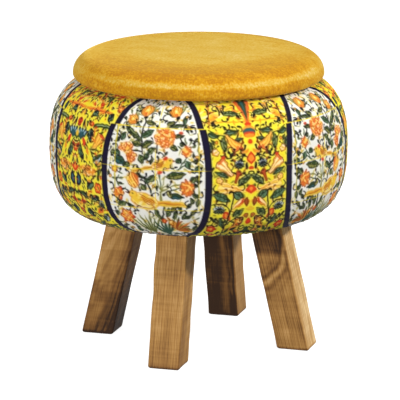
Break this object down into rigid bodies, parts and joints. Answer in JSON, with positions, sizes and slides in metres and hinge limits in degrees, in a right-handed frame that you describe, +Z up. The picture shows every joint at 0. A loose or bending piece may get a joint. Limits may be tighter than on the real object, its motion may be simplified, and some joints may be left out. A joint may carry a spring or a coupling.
{
  "type": "footstool",
  "caption": "Round footstool: a crowned velvet seat pad on a bulging, stuffed drum in printed cotton, standing on splayed square wooden legs.",
  "frame": {"origin": "on the floor, under the middle of the seat", "axes": "+Z up along the stool's own axis; the legs stand on the X and Y axes, with leg_right on +X and leg_back on +Y"},
  "size_m": [0.4, 0.4, 0.3993],
  "materials": {
    "mustard_velvet": "short-pile velvet, brushed in patches",
    "printed_cotton": "plain-weave cotton printed with white and yellow panels of flowers, leaves and birds",
    "stained_pine": "brown stain on sawn and planed pine",
    "bare_pine": "bare planed pine",
    "plywood": "bare plywood",
    "hardboard": "bare hardboard",
    "upholstery_foam": "open-cell foam",
    "polyester_fibre": "loose fibre",
    "dust_cloth": "black felted cloth",
    "zinc_steel": "yellow zinc"
  },
  "bodies": {
    "root": {"seat_cover": "mustard_velvet", "seat_foam": "upholstery_foam", "seat_board": "plywood", "seat_screw_right": "zinc_steel", "seat_screw_back": "zinc_steel", "seat_screw_left": "zinc_steel", "seat_screw_front": "zinc_steel", "body_cover": "printed_cotton", "fibre_fill": "polyester_fibre", "foam_sleeve": "upholstery_foam", "drum_wall": "hardboard", "top_ring": "plywood", "base_board": "plywood", "post_back_right": "bare_pine", "post_back_left": "bare_pine", "post_front_left": "bare_pine", "post_front_right": "bare_pine", "post_base_screw_back_right": "zinc_steel", "post_base_screw_back_left": "zinc_steel", "post_base_screw_front_left": "zinc_steel", "post_base_screw_front_right": "zinc_steel", "post_top_screw_back_right": "zinc_steel", "post_top_screw_back_left": "zinc_steel", "post_top_screw_front_left": "zinc_steel", "post_top_screw_front_right": "zinc_steel", "leg_right": "stained_pine", "leg_back": "stained_pine", "leg_left": "stained_pine", "leg_front": "stained_pine", "leg_screw_right_1": "zinc_steel", "leg_screw_right_2": "zinc_steel", "leg_screw_back_1": "zinc_steel", "leg_screw_back_2": "zinc_steel", "leg_screw_left_1": "zinc_steel", "leg_screw_left_2": "zinc_steel", "leg_screw_front_1": "zinc_steel", "leg_screw_front_2": "zinc_steel", "dust_cover": "dust_cloth"}
  },
  "joints": []
}
